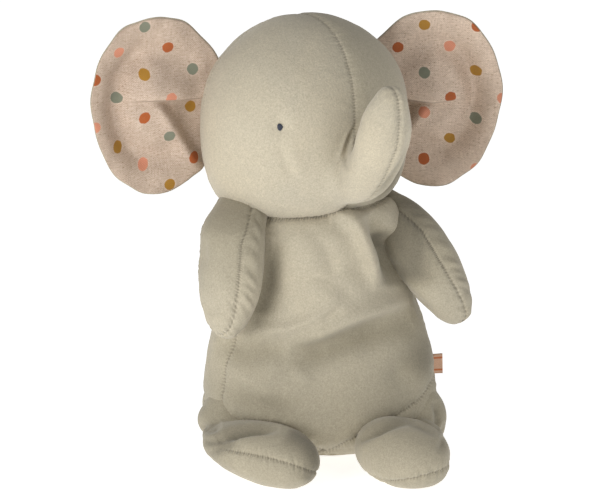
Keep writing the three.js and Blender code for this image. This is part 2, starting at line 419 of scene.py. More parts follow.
def finish_piece(obj, fabric, nodes, body):
    """Covers obj with a fabric, which is a material and its slot, hides the CAD nodes it stands for and
    attaches it to a body.
    """
    material, slot = fabric
    obj.data.materials.append(material)
    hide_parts(*nodes)
    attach(obj, body)


# ----- materials -----

class Nodes:
    """A material's nodes, each made and joined in one call."""

    def __init__(self, name):
        self.material = bpy.data.materials.new(name)
        self.material.use_nodes = True
        tree = self.material.node_tree
        tree.nodes.clear()
        self.nodes, self.links = tree.nodes, tree.links
        self.shader = self.add("BsdfPrincipled")
        self.add("OutputMaterial", {"Surface": self.shader.outputs[0]})

    def add(self, kind, inputs=None, **settings):
        node = self.nodes.new("ShaderNode" + kind)
        for key, value in settings.items():
            setattr(node, key, value)
        for socket, value in (inputs or {}).items():
            self.set(node.inputs[socket], value)
        return node

    def set(self, socket, value):
        if isinstance(value, bpy.types.NodeSocket):
            self.links.new(value, socket)
        else:
            socket.default_value = value

    def math(self, operation, a, b=0.0, c=0.0):
        return self.add("Math", {0: a, 1: b, 2: c}, operation=operation).outputs[0]

    def plus(self, first, *others):
        for other in others:
            first = self.math("ADD", first, other)
        return first

    def times(self, first, *others):
        for other in others:
            first = self.math("MULTIPLY", first, other)
        return first

    def place(self):
        return self.add("TexCoord").outputs["Object"]

    def attribute(self, name, output="Fac"):
        return self.add("Attribute", attribute_name=name).outputs[output]

    def shaded(self, colour, shade):
        grey = self.add("CombineColor", {0: shade, 1: shade, 2: shade}).outputs[0]
        return self.mix(1.0, colour, grey, "MULTIPLY")

    def mix(self, share, a, b, blend="MIX"):
        node = self.add("Mix", data_type="RGBA", blend_type=blend)
        for index, value in ((0, share), (6, a), (7, b)):
            self.set(node.inputs[index], value)
        return node.outputs[2]

    def noise(self, vector, scale, detail=2.0, roughness=0.5, distortion=0.0):
        inputs = {"Vector": vector, "Scale": scale, "Detail": detail, "Roughness": roughness,
                  "Distortion": distortion}
        return self.add("TexNoise", inputs).outputs[0]

    def span(self, value, low, high, to_low, to_high):
        inputs = {0: value, 1: low, 2: high, 3: to_low, 4: to_high}
        return self.add("MapRange", inputs).outputs[0]

    def stretched(self, vector, scale):
        return self.add("Mapping", {"Vector": vector, "Scale": scale}).outputs[0]

    def bump(self, height, distance, strength=1.0, normal=None):
        inputs = {"Height": height, "Distance": distance, "Strength": strength}
        if normal is not None:
            inputs["Normal"] = normal
        return self.add("Bump", inputs).outputs[0]

    def finish(self, colour, roughness, normal, **sockets):
        self.set(self.shader.inputs["Base Color"], colour)
        self.set(self.shader.inputs["Roughness"], roughness)
        self.set(self.shader.inputs["Normal"], normal)
        for name, value in sockets.items():
            socket = name.replace("_", " ").title().replace("Ior", "IOR")
            self.shader.inputs[socket].default_value = value
        return self.material


STITCH_LENGTH = 2.5


def velour_material(name, colour, nap=0.035):
    """Short-pile velour: brushed nap in patches, fine pile, and seams drawn up by their stitches, with
    painted highlights and painted shade on the puckers.
    "seam_gap" and "seam_along" are millimetres from a seam and along it; the third attribute darkens and
    warms the colour, as another panel's tone and as painted shade."""
    n = Nodes(name)
    place = n.place()
    gap = n.attribute("seam_gap")
    along = n.attribute("seam_along")
    # another panel's tone and painted shade, from 0 to 2
    panel_and_shade = n.attribute("panel_and_painted_shade")
    patches = n.noise(place, 13, 3, 0.5, 0.5)
    strokes = n.noise(n.stretched(place, (1, 1, 0.3)), 150, 3, 0.6, 0.4)
    pile = n.noise(place, 1050, 3, 0.7)
    tufts = n.noise(place, 480, 2, 0.5)
    uneven = n.noise(place, 240, 2)
    stitch = n.math("SINE", n.plus(n.times(along, 2 * math.pi / STITCH_LENGTH), n.times(uneven, 7)))
    band = n.span(gap, 0.5, 2.2, 1, 0)
    line = n.span(gap, 0.25, 0.9, 1, 0)
    drawn = n.times(band, stitch)
    shade = n.times(
        n.span(patches, 0.35, 0.65, 1 - nap, 1 + nap),
        n.span(strokes, 0.3, 0.7, 0.98, 1.02),
        n.span(pile, 0.32, 0.68, 0.84, 1.16),
        n.span(tufts, 0.3, 0.7, 0.95, 1.05),
        n.span(line, 0, 1, 1, 0.8),
        # painted highlights and painted shade on the seam puckers
        n.span(drawn, -1, 1, 0.84, 1.2),
        # painted shade, and another panel's tone
        n.span(panel_and_shade, 0, 2, 1, 0.4),
    )
    warm = (colour[0] * 1.02, colour[1], colour[2] * 0.96, 1)
    painted_shade_tint = (colour[0], colour[1] * 0.985, colour[2] * 0.93, 1)
    tone = n.mix(n.span(patches, 0.3, 0.7, 0, 1), colour, warm)
    # warmer and duller where shade is painted
    tone = n.mix(panel_and_shade, tone, painted_shade_tint)
    rough = n.span(strokes, 0.3, 0.7, 0.82, 0.98)
    height = n.plus(n.times(pile, 0.5), n.times(tufts, 0.7), n.times(strokes, 0.4), n.times(drawn, 0.55))
    normal = n.bump(height, 0.0006, 0.6)
    return n.finish(
        n.shaded(tone, shade), rough, normal,
        sheen_weight=0.3, sheen_roughness=0.5, sheen_tint=(1.0, 0.97, 0.9, 1), specular_ior_level=0.12,
    )


DOT_COLOURS = {
    "green": (0.185, 0.205, 0.15, 1),
    "mustard": (0.38, 0.185, 0.012, 1),
    "orange": (0.39, 0.085, 0.012, 1),
    "pink": (0.68, 0.27, 0.165, 1),
}
DOT = {"radius": 4.3, "period": 39.0, "row": 18.4}
FLECK_COLOUR = (0.30, 0.20, 0.13, 1)
YARN_PITCH = 0.8


def lighter(colour, by):
    return tuple(min(c * by, 1) for c in colour[:3]) + (1,)


def dotted_linen_material(name, colour, start):
    """Natural linen in plain weave with slubs and flecks, printed with rows of small dots, and darker
    near the dart as painted shade under its fold.
    The attribute "flat" is the cloth's own coordinates in millimetres."""
    n = Nodes(name)
    flat = n.attribute("flat", "Vector")
    split = n.add("SeparateXYZ", {0: flat})
    wobble = n.noise(flat, 0.35, 2)
    x = n.plus(split.outputs[0], n.span(wobble, 0.3, 0.7, -0.2, 0.2))
    y = n.plus(split.outputs[1], n.span(n.noise(flat, 0.29, 2), 0.3, 0.7, -0.2, 0.2))
    # yarns over and under
    weave = n.times(*(n.math("SINE", n.times(way, math.pi / YARN_PITCH)) for way in (x, y)))
    threads_across = n.noise(n.stretched(flat, (0.14, 1.0, 1)), 1.0, 3, 0.7)
    threads_up = n.noise(n.stretched(flat, (1.0, 0.14, 1)), 1.0, 3, 0.7)
    slubs = n.math(
        "MAXIMUM", n.span(threads_across, 0.62, 0.74, 0, 1), n.span(threads_up, 0.64, 0.76, 0, 1)
    )
    flecks = n.span(n.noise(n.stretched(flat, (0.5, 1.3, 1)), 0.9, 3, 0.6), 0.57, 0.66, 0, 1)
    cloud = n.noise(flat, 0.06, 3)
    darker = tuple(c * k for c, k in zip(colour, (0.74, 0.70, 0.66))) + (1,)
    cloth = n.mix(n.span(threads_across, 0.38, 0.66, 0, 1), colour, darker)
    cloth = n.mix(n.span(threads_up, 0.4, 0.66, 0, 0.8), cloth, darker)
    cloth = n.mix(n.times(slubs, 0.5), cloth, lighter(colour, 1.25))
    cloth = n.mix(n.times(flecks, 0.75), cloth, FLECK_COLOUR)
    # rows of dots, each row one and a half dots on from the one above
    level = n.plus(y, start[1])
    row = n.math("ROUND", n.math("DIVIDE", level, DOT["row"]))
    rise = n.math("SUBTRACT", level, n.times(row, DOT["row"]))
    along = n.math("DIVIDE", n.plus(x, start[0]), DOT["period"])
    along = n.math("SUBTRACT", along, n.times(row, 1.5))
    place = n.math("ROUND", along)
    side = n.times(n.math("SUBTRACT", along, place), DOT["period"])
    far = n.math("SQRT", n.plus(n.times(side, side), n.times(rise, rise)))
    ragged = n.plus(far, n.span(n.noise(flat, 1.4, 3, 0.6), 0.3, 0.7, -0.14, 0.14))
    dot = n.span(ragged, DOT["radius"] - 0.25, DOT["radius"] + 0.25, 1, 0)
    halo = n.times(n.span(ragged, DOT["radius"] + 0.2, DOT["radius"] + 1.3, 1, 0), 0.22)
    which = n.math("FLOORED_MODULO", place, 4.0)
    ink = DOT_COLOURS["green"]
    for number, key in enumerate(("mustard", "orange", "pink"), 1):
        ink = n.mix(n.math("COMPARE", which, float(number), 0.2), ink, DOT_COLOURS[key])
    painted = n.mix(halo, cloth, lighter(colour, 1.22))
    worn = n.span(weave, -1, 1, 0.86, 1.0)
    painted = n.mix(n.times(dot, worn), painted, ink)
    shade = n.times(
        n.span(weave, -1, 1, 0.82, 1.1),
        n.span(cloud, 0.3, 0.7, 0.94, 1.06),
        # painted shade under the dart's fold
        n.span(n.attribute("seam_gap"), 0, 8, 0.62, 1),
    )
    height = n.plus(n.times(weave, 0.3), threads_across, threads_up, n.times(slubs, 0.5))
    normal = n.bump(height, 0.0003, 0.6)
    rough = n.span(weave, -1, 1, 0.95, 0.78)
    return n.finish(n.shaded(painted, shade), rough, normal, sheen_weight=0.06, specular_ior_level=0.12)


def fibre_material():
    n = Nodes("filling_fibre")
    place = n.place()
    strands = n.noise(place, 420, 5, 0.7, 2.5)
    colour = n.mix(strands, (0.68, 0.66, 0.62, 1), (0.88, 0.87, 0.84, 1))
    rough = n.span(strands, 0.3, 0.7, 0.8, 1)
    return n.finish(colour, rough, n.bump(strands, 0.002, 0.8), sheen_weight=0.3)


def thread_material(name, colour):
    """Shiny embroidery thread, with a fine twist."""
    n = Nodes(name)
    place = n.place()
    twist = n.noise(place, 2600, 3, 0.6)
    bright = tuple(c * 1.9 + 0.004 for c in colour[:3]) + (1,)
    shade = n.mix(n.span(twist, 0.3, 0.7, 0, 1), colour, bright)
    rough = n.span(twist, 0.3, 0.7, 0.35, 0.55)
    return n.finish(shade, rough, n.bump(twist, 0.0002, 0.7), sheen_weight=0.15)


def tape_material():
    """The label's woven tape, with two thin stripes and no lettering."""
    n = Nodes("label_tape")
    flat = n.place()
    split = n.add("SeparateXYZ", {0: flat})
    ribs = n.math("SINE", n.times(split.outputs[2], 2 * math.pi / 0.0006))
    grain = n.noise(flat, 1900, 2)
    level = n.math("ABSOLUTE", n.math("SUBTRACT", split.outputs[2], float(label_middle[2] * MM)))
    stripe = n.math("COMPARE", level, 0.0046, 0.0007)
    ground = n.mix(n.span(grain, 0.3, 0.7, 0, 1), (0.74, 0.47, 0.32, 1), (0.64, 0.38, 0.25, 1))
    colour = n.mix(stripe, ground, (0.55, 0.16, 0.05, 1))
    rough = n.span(grain, 0.3, 0.7, 0.55, 0.75)
    return n.finish(colour, rough, n.bump(ribs, 0.0001, 0.5), sheen_weight=0.1)


velour = velour_material("velour_sage", (0.475, 0.43, 0.335, 1)), "velour"
fibre = fibre_material(), "fibre"
eye_thread = thread_material("eye_thread_navy", (0.012, 0.016, 0.030, 1)), "eye_thread"


# ----- torso -----

# half breadth and height, from the seat up
TORSO_OUTLINE = [
    (3, 0), (24, 0.4), (50, 4), (74, 15), (87, 33), (88, 60), (82.5, 94), (73, 126), (67, 150),
    (67, 168), (67, 182), (62, 193), (50, 201), (28, 205),
]
TORSO_TOP = 206
TORSO_LEAN = 0.03
# front to back as a share of the breadth: low down, and at the shoulders
TORSO_DEPTH, SHOULDER_DEPTH = 0.66, 0.83
SEAT_LIFT = 11  # how far the front of the seat is raised
BELLY_SEAM = [
    (-88, 44), (-80, 32), (-60, 27), (-35, 25), (-12, 14), (4, 3), (21, 8), (46, 23), (70, 37), (81, 46),
    (90, 62),
]

HEAD_SIZE = {"half_width": 79.5, "half_depth": 70.5, "above": 75.5, "below": 75, "bottom_power": 3.4}
NECK_RADIUS = 62


def neck_gap(points):
    """Roughly how far points lie outside the lower half of the head."""
    away = points - HEAD_CENTRE
    side, out = away @ FACE_SIDE / HEAD_SIZE["half_width"], away @ FACE_OUT / HEAD_SIZE["half_depth"]
    level = np.hypot(side, out)
    drop = np.clip(-away[:, 2], 0, None) / HEAD_SIZE["below"]
    power = HEAD_SIZE["bottom_power"]
    return ((level ** power + drop ** power) ** (1 / power) - 1) * NECK_RADIUS


def shoulder_gap(points):
    """Roughly how far points lie outside the top of the body."""
    radius, height = np.array(TORSO_OUTLINE[9:]).T
    forward = points[:, 1] - TORSO_LEAN * points[:, 2]
    return np.hypot(points[:, 0], forward / SHOULDER_DEPTH) - np.interp(points[:, 2], height, radius)


def torso_base(around=64):
    outline = spline(TORSO_OUTLINE, 3)
    turn = np.arange(around) / around * 2 * math.pi
    radius, height = outline[:, 0], outline[:, 1]
    x = radius[:, None] * np.cos(turn)
    depth = TORSO_DEPTH + (SHOULDER_DEPTH - TORSO_DEPTH) * clamp((height - 120) / 50)
    y = (radius * depth)[:, None] * np.sin(turn) + TORSO_LEAN * height[:, None]
    x = x + 2 * bell(height - 62, 45)[:, None]
    rise = clamp((-y - 2) / 26) * clamp(1 - height / 42)[:, None]
    z = height[:, None] + SEAT_LIFT * rise
    rings = np.stack([x, y, z], 2).reshape(-1, 3)
    points = np.concatenate([[[0, 0, 0]], rings, [[0, TORSO_LEAN * 205, TORSO_TOP]]])
    return points, ring_faces(len(outline), around)


def torso():
    cover = mesh_object("body_cover", *torso_base())
    _, y, z = points_of(cover).T
    seams = np.maximum(bell(y - TORSO_LEAN * z, 5), bell(z, 5))
    pins = np.maximum(seams * 0.9, z > 182)
    settle(cover, pins, cap=5)
    subdivide(cover, 2)
    s = Sculpt(cover)
    x, y, z = s.points.T
    side = y - TORSO_LEAN * z
    walls = clamp((z - 3) / 8)
    forward = np.where(x < 0, 24, 5) * clamp((150 - z) / 40)
    s.seam(side + forward, z, keep=walls, depth=2.2, pucker=0.4, length=5, seed=1.3)
    s.seam(x, z, keep=walls * (side > 0), depth=1.8, seed=2.6)
    seat_edge = 12 + 37 * (np.abs(x) / 84) ** 6
    s.seam(z - seat_edge, x, keep=(z < 60) * (side > 0), depth=2.2, valley=5, seed=0.4)
    s.stitched_line(BELLY_SEAM, depth=3.0, width=1.8, pucker=0.8, length=6, seed=0.4)
    s.seam(neck_gap(s.points), np.arctan2(side, x) * 60, keep=z > 165, depth=2.4, valley=4,
           pucker=0.6, length=5, seed=5.0)
    s.lump(34, 1.4, 1.0)
    s.lump(15, 0.4, 3.0)
    torso_folds(s)
    s.done()
    nodes = ["body_front_panel", "body_back_right_panel", "body_back_left_panel", "seat_panel"]
    finish_piece(cover, velour, nodes, "torso")


# the body's creases on the show side: line, height, width, and steepness of the right flank
TORSO_FOLDS = [
    ([(4, 186), (26, 172), (37, 150), (43, 124)], 9, 10, 2.2),
    ([(36, 180), (46, 164), (51, 148), (54, 128)], -10, 8),
    ([(-26, 84), (2, 91), (36, 106), (68, 116)], 9.5, 9, 2.6),
    ([(-34, 74), (0, 79), (34, 92), (70, 103)], -13.0, 11),
    ([(-74, 86), (-50, 79), (-24, 79)], -7.0, 10),
    ([(-50, 93), (-22, 96), (2, 108), (14, 121)], 4.0, 5, 1.8),
    ([(-52, 84), (-22, 86), (4, 98), (16, 112)], -3.5, 5),
    ([(-36, 178), (-32, 160), (-34, 140), (-40, 108)], -6.0, 9),
    ([(-16, 70), (-14, 62), (-6, 52)], 2.5, 6, 1.5),
    ([(-76, 62), (-58, 47), (-40, 38), (-14, 34)], -3, 7),
    ([(-70, 70), (-50, 57), (-30, 48)], 2.2, 8),
    ([(76, 84), (62, 66), (58, 52)], -3.5, 8),
    ([(-8, 168), (6, 154), (12, 134)], -2.2, 6),
    ([(-6, 138), (14, 128), (30, 112)], -1.8, 6),
]
# painted shade on the show side, under the waist fold, in the armpits, beside the arms and down the
# sides: line, width, amount
TORSO_SHADES = [
    ([(-34, 77), (0, 80), (34, 92), (74, 103)], 9, 0.75),
    ([(-78, 84), (-50, 80), (-24, 79)], 8, 0.6),
    ([(56, 120), (72, 96), (78, 72), (70, 52)], 16, 0.7),
    ([(-74, 50), (-50, 42), (-10, 36)], 8, 0.35),
    ([(40, 178), (48, 162), (54, 144), (60, 124)], 8, 1.1),
    ([(50, 172), (55, 158), (60, 146)], 6, 1.0),
    ([(78, 92), (80, 72), (74, 56)], 13, 0.5),
    ([(-32, 164), (-34, 140), (-42, 108), (-50, 92)], 7, 1.1),
]


def torso_folds(s):
    """A full chest, a slack waist and drawn armpits, with painted shade in its creases and hollows."""
    s.bump((-18, 148), 30, 7)
    s.bump((10, 118), 26, 5)
    s.bump((55, 158), 9, -8)
    for fold in TORSO_FOLDS:
        s.fold(*fold)
    # painted shade: the body darker towards the bottom
    s.tone = 0.2 + 0.5 * clamp((120 - s.points[:, 2]) / 60)
    for shade in TORSO_SHADES:
        s.shade(*shade)


torso()


# ----- head and trunk -----

# forward of the head's middle, above it, and half the trunk's breadth and thickness there
TRUNK = [
    (46, -38, 10, 8), (58, -39, 19, 15), (70, -37, 21, 16), (83, -29, 22, 16.5),
    (95, -15, 22, 17), (102, -2, 21.8, 18), (107, 9, 21, 18.5), (110, 20, 18.6, 17.5),
    (113, 30, 15.5, 15), (114, 38, 12.4, 12), (114, 44, 8.5, 8), (114, 47.5, 3, 3),
]
TRUNK_ROOT, TRUNK_FREE = 74, 96  # how far out its bend begins and ends
# creases below the eye, beside the trunk and under it: line, height, width
HEAD_FOLDS = [
    ([(-28, 240), (-26, 225), (-18, 204)], -1.8, 5),
    ([(-22, 240), (-19, 225), (-12, 206)], 1.0, 6),
    ([(33, 254), (25, 240), (19, 226), (15, 212), (15, 200)], -2.4, 1.9),
    ([(28, 246), (22, 232), (20, 222), (22, 212)], -1.6, 1.7),
    ([(29, 250), (21, 236), (17, 222), (18, 208)], 1.2, 1.8),
    ([(68, 242), (65, 222), (56, 207), (41, 190)], -3.4, 2.6),
    ([(71, 208), (66, 194), (58, 184)], -2.4, 2.4),
]
EYE_DIMPLE = 2.8  # how deep
SIDES = ("right", "left")


def face_place(out, side, up):
    return HEAD_CENTRE + out * FACE_OUT + side * FACE_SIDE + np.array([0, 0, up])


def head_mesh():
    ball, ball_faces = ovoid(34, 48, **HEAD_SIZE)
    ball = turned_about_z(ball, HEAD_TURN) + HEAD_CENTRE
    stations = spline(TRUNK, 3)
    line = np.array([face_place(out, 0, up) for out, up in stations[:, :2]])
    trunk = horn(line, stations[:, 2:], 28)
    return join_meshes("head_cover", [(ball, ball_faces), trunk])


def relax(obj, weight, rounds):
    """Softens the surface where weight is above 0, as a fillet."""
    points = points_of(obj)
    edges = np.zeros(len(obj.data.edges) * 2, np.int64)
    obj.data.edges.foreach_get("vertices", edges)
    a, b = edges.reshape(-1, 2).T
    count = np.bincount(np.concatenate([a, b]), minlength=len(points))[:, None]
    for _ in range(rounds):
        total = np.zeros_like(points)
        np.add.at(total, a, points[b])
        np.add.at(total, b, points[a])
        points += 0.6 * weight[:, None] * (total / np.maximum(count, 1) - points)
    put_points(obj, points)


def face_frame(points):
    """Points as (out, side, up) from the head's middle, in the way that the face looks."""
    away = points - HEAD_CENTRE
    return away @ FACE_OUT, away @ FACE_SIDE, away[:, 2]


def head():
    cover = head_mesh()
    remesh(cover, 4.5)
    out, side, up = face_frame(points_of(cover))
    root = bell(np.hypot(out - 72, up + 38), 26) * (np.abs(side) < 45)
    relax(cover, root, 8)
    out, side, up = face_frame(points_of(cover))
    crown = bell(side, 5) * (out < TRUNK_ROOT)
    pins = np.maximum(crown * 0.9, up < -66)
    settle(cover, pins, cap=3)
    subdivide(cover, 2)
    s = Sculpt(cover)
    out, side, up = face_frame(s.points)
    on_trunk = clamp((out - TRUNK_ROOT) / 8)
    crown = side - 6 * clamp(up / 70)
    s.seam(crown, np.arctan2(up, out) * 76, keep=(up > -71) * (1 - on_trunk), valley=4.5,
           length=5, seed=2.2)
    rising = np.array(TRUNK)[3:]
    trunk_front = on_trunk * (out > np.interp(up, rising[:, 1], rising[:, 0]))
    s.seam(side, up, keep=trunk_front, depth=1.4, valley=3.5, length=4.5, seed=0.7)
    s.seam(out + 27, np.arctan2(up, side) * 80, keep=up > -64, pucker=0.3, seed=3.1)
    s.seam(shoulder_gap(s.points), np.arctan2(side, out) * 60, keep=up < -56, depth=2.0,
           valley=3.5, pucker=0.6, length=5, seed=5.0)
    s.lump(40, 1.3, 6.0)
    s.lump(16, 0.35, 2.0)
    for name in SIDES:
        s.out -= EYE_DIMPLE * bell(lengths(s.points - eye_place(name)), 7)
    for fold in HEAD_FOLDS:
        s.fold(*fold)
    # painted shade in the crease beside the trunk
    s.shade([(66, 232), (64, 218), (55, 204), (40, 188)], 4.0, 1.5)
    s.tone = s.tone + clamp(crown / 2) * (1 - on_trunk) * 0.45
    s.done()
    cover.data.materials.append(velour[0])
    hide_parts(*HEAD_PANELS)
    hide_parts("trunk_right_panel", "trunk_left_panel")
    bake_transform(cover)


def eye_place(side):
    low, high = node_box(f"eye_{side}")
    return (low + high) / 2


head()


# ----- eyes -----

def surface_place(obj, start, way):
    """The point of obj's surface that lies furthest along a line."""
    away = points_of(obj) - start
    along = away @ way
    aside = lengths(away - along[:, None] * way)
    near = np.nonzero(aside < 1.5)[0]
    return start + away[near[np.argmax(along[near])]]


def eye(side):
    """An oval of satin stitches side by side, sunk in its dimple."""
    away = eye_place(side) - HEAD_CENTRE
    way = away / np.linalg.norm(away)
    middle = surface_place(bpy.data.objects["head_cover"], HEAD_CENTRE, way)
    out = np.array([away[0], away[1], 0])
    out /= np.linalg.norm(out)
    across = np.cross(UP, out)
    parts = []
    for number in np.linspace(-1, 1, 9):
        length = 3.0 * math.sqrt(max(1 - number ** 2, 0.12))
        points, faces = ovoid(8, 10, half_width=0.42, half_depth=0.55, above=length, below=length)
        rise = 1.1 * math.sqrt(max(1 - number ** 2, 0))
        place = middle + across * number * 2.1 + out * (rise - 0.5)
        world = points[:, :1] * across + points[:, 1:2] * out + points[:, 2:] * UP + place
        parts.append((world, faces))
    made = join_meshes(f"eye_{side}_satin_stitch", parts)
    finish_piece(made, eye_thread, [f"eye_{side}"], "head")


for name in SIDES:
    eye(name)


# ----- ears -----

EAR = {"half_height": 67, "half_width": 48, "inner_width": 60, "centre_out": 33, "root": -26,
       "cup": 11, "lift": 3.5}


def ear_cloth(rings, around):
    """Flat points of an ear's cloth, as rings round its middle: (outward, up)."""
    share = (np.arange(rings + 1) / rings)[:, None]
    turn = (np.arange(around) / around * 2 * math.pi)[None, :]
    wave = 1 + 0.010 * np.sin(7 * turn + 0.6) + 0.006 * np.sin(13 * turn)
    flare = np.where(np.cos(turn) > 0, 0.1, -0.06) * np.sin(turn)
    width = np.where(np.cos(turn) > 0, EAR["half_width"], EAR["inner_width"]) * (1 + flare)
    share = share * wave
    return np.stack([width * share * np.cos(turn), EAR["half_height"] * share * np.sin(turn)], 2)


def ear_shape(flat, seed):
    """Where the ear's cloth goes, as (outward, back, up) from the root: a cup with a rolled rim and a
    full middle, and a dart that lays the upper cloth over the lower. Also how near the dart is, and
    how much cloth it has taken up."""
    x, z = flat[..., 0], flat[..., 1]
    share = np.hypot(x / np.where(x > 0, EAR["half_width"], EAR["inner_width"]), z / EAR["half_height"])
    lean = x / EAR["half_width"]
    outer = clamp(0.75 + 0.75 * lean)
    back = -EAR["cup"] * share ** 2 * (0.5 + 0.4 * lean)
    back = back + 10.5 * bell(share - 0.60, 0.16) * outer
    back = back - 3.5 * bell(share, 0.36)
    level = z - (2.5 if seed < 2 else -1.5) - 1.5 * np.sin(x / 13 + seed)
    reach = clamp((24 - x) / 30)
    upper = soft_step(level / 0.5)
    back = back - reach * (4.2 * upper * bell(level, 10) - 4.0 * (1 - upper) * bell(level, 8))
    back = back - 2.5 * reach * bell(level - 9, 9)
    slack = clamp((2 - level) / 8) * clamp((EAR["half_height"] + z) / 30)
    inward = -8 + 0.62 * (z - 2) - x
    back = back + 7.0 * slack * soft_step(inward / 2.2) - 3.5 * slack * bell(inward + 5, 6)
    back = back + 7.0 * clamp(-x / 45) ** 1.3
    for size, height in ((21, 2.2), (9, 0.8)):
        crumple = [noise.noise(Vector((a / size, b / size, seed))) for a, b in zip(x.ravel(), z.ravel())]
        back = back + height * np.reshape(crumple, x.shape)
    place = np.stack([x + EAR["centre_out"], back, z + EAR["lift"]], -1)
    return place, reach * bell(level, 1.0), 6.5 * reach * (1 - upper)


def ear(side, name, points_to, linen):
    rings, around = 60, 168
    flat = ear_cloth(rings, around)
    shape, dart, taken = ear_shape(flat, 1.3 if side < 0 else 4.9)
    swell = 1 - (np.arange(rings + 1) / rings)[:, None] ** 3
    root = joint_place(f"ear_fold_{name}")
    out_way = np.array([math.sin(points_to), -math.cos(points_to), 0])
    back_way = np.cross(UP, out_way) * side
    lay = np.stack([flat[..., 0], (flat[..., 1] - taken) * side, 0 * taken], -1)
    layers = {
        "linen": (-1.6 * swell, 0.2 * swell + 0.5, 1.0),
        "velour_back": (0.2 * swell + 0.6, 2.6 * swell + 1.4, 1.012),
    }
    for layer, (front, rear, grow) in layers.items():
        inward = list(range(rings, 0, -1))
        rows = [(front, i) for i in inward[::-1]] + [(rear, i) for i in inward]
        points = [shape[0, :1] + [[0, front[0, 0], 0]]]
        for surface, i in rows:
            ring = shape[i].copy()
            ring[:, 0] = EAR["centre_out"] + (ring[:, 0] - EAR["centre_out"]) * grow
            ring[:, 1] += surface[i]
            ring[:, 2] *= grow
            ring[:, 0] = np.maximum(ring[:, 0], EAR["root"])
            points.append(ring)
        points.append(shape[0, :1] + [[0, rear[0, 0], 0]])
        local = np.concatenate(points)
        world = root + local[:, :1] * out_way + local[:, 1:2] * back_way + local[:, 2:] * UP
        faces = ring_faces(2 * rings, around)
        faces = faces if side > 0 else [face[::-1] for face in faces]
        made = mesh_object(f"ear_{name}_{layer}", world, faces)
        order = [i for _, i in rows]
        # how near the dart is, which the linen paints darker as shade under the fold
        gap = np.concatenate([[9], *(9 * (1 - dart[i]) for i in order), [9]])
        flat_now = np.concatenate([lay[0, :1], *(lay[i] for i in order), lay[0, :1]])
        mark(made, "seam_gap", gap)
        mark(made, "flat", flat_now)
        lining = layer == "linen"
        nodes = [f"ear_{name}_lining", f"ear_{name}_wadding"] if lining else [f"ear_{name}_back"]
        finish_piece(made, linen if lining else velour, nodes, f"ear_{name}")


# side, where the ear points to, its linen's colour, and where the rows of dots start; the two linen
# colours are one cloth, darker on the right ear as painted shade and lighter on the left as painted
# light
EARS = {
    "right": (-1, HEAD_TURN - 108 * DEGREE, (0.655, 0.53, 0.43, 1), (-26.0, 5.5)),
    "left": (1, HEAD_TURN + 60 * DEGREE, (0.77, 0.63, 0.515, 1), (67.5, -1.0)),
}
for name, (side, points_to, colour, start) in EARS.items():
    linen = dotted_linen_material(f"linen_dotted_painted_light_and_shade_{name}", colour, start), "dotted_linen"
    ear(side, name, points_to, linen)


# ----- arms -----

ARM = {"half_width": 23, "above": 50, "below": 61, "taper": 0.02, "top_power": 2.5, "bottom_power": 2.1}
ARMS = {
    "right": {"centre": (-74, -38, 169), "turns": (-14, 7, 34), "seam": 12, "half_depth": 26,
              "tuck": (22, 40)},
    "left": {"centre": (75, -17, 157), "turns": (-12, -29, 34), "seam": 7, "half_depth": 23,
             "tuck": (-12, 32)},
}


def tucked(height, spec):
    """How far an arm's cloth is tucked in under the chin at a height above its middle."""
    return clamp((height - 14) / 36)[:, None] ** 1.6 * np.array([*spec["tuck"], 0])


def arm_frame(points, spec, turn):
    """Points in the arm's own upright frame, before its tilt and tuck."""
    away = points - spec["centre"]
    return (away - tucked(away[:, 2], spec)) @ turn


def arm(name):
    spec = ARMS[name]
    points, faces = ovoid(30, 40, half_depth=spec["half_depth"], **ARM)
    turn = Matrix.Identity(3)
    for angle, axis in zip(spec["turns"], "XYZ"):
        turn = turn @ Matrix.Rotation(angle * DEGREE, 3, axis)
    turn = np.array(turn)
    placed = points @ turn.T + spec["centre"] + tucked(points[:, 2], spec)
    cover = mesh_object(f"arm_{name}_cover", placed, faces)
    local = arm_frame(points_of(cover), spec, turn)
    pins = np.maximum(bell(local[:, 0] + spec["seam"], 4) * 0.9, local[:, 2] > 30)
    settle(cover, pins, cap=3)
    subdivide(cover, 2)
    s = Sculpt(cover)
    local = arm_frame(s.points, spec, turn)
    around = np.arctan2(local[:, 1], local[:, 2])
    line = local[:, 0] + spec["seam"] - 6 * clamp(-local[:, 2] / 60) ** 2
    s.seam(line, around * 40, depth=1.8, width=1.3, valley=5, pucker=0.55, length=4.5, seed=1.1)
    strip = bell(line - 9, 6) * (local[:, 1] < 0)
    s.out += strip * 1.3 * ripple(local[:, 2] + 0.6 * line, 11, 2.7)
    s.lump(24, 1.0, 5.0 if name == "left" else 7.5)
    s.lump(11, 0.3, 2.0)
    # painted shade: darker overall and towards the arm's top, and a little darker past the seam
    s.tone = np.clip(0.75 + local[:, 2] / 70, 0.3, 1.4) + 0.15 * clamp(line / 6)
    # painted shadow of the cheek across the top of the left arm
    if name == "left":
        s.shade([(60, 196), (64, 176), (70, 150), (70, 124)], 15, 1.3, fade=0.15)
    s.done()
    nodes = [f"arm_{name}_outer_panel", f"arm_{name}_inner_panel"]
    finish_piece(cover, velour, nodes, f"arm_{name}")


for name in ARMS:
    arm(name)


# ----- legs -----

# ovoids: half_width, half_depth, above, below, top_power, bottom_power
THIGH = (29, 27, 38, 26, 1.7, 2.4)
SHIN = (27, 33, 17, 20, 2.4, 2.6)
FOOT = (32.5, 48, 24.5, 21.5, 2.3, 2.6)
LEGS = {
    "right": {"thigh": (-64, -7, 30), "shin": (-68, -36, 21), "foot": (-58, -70, 22.5),
              "turn": 42 * DEGREE, "seam": (-78, 34, 0.0055), "heel": 17},
    "left": {"thigh": (67, -9, 27), "shin": (59, -44, 20), "foot": (47, -81, 22),
             "turn": 12 * DEGREE, "seam": (84, 20, 0.0035), "heel": 2},
}
SOLE_HEIGHT = 14
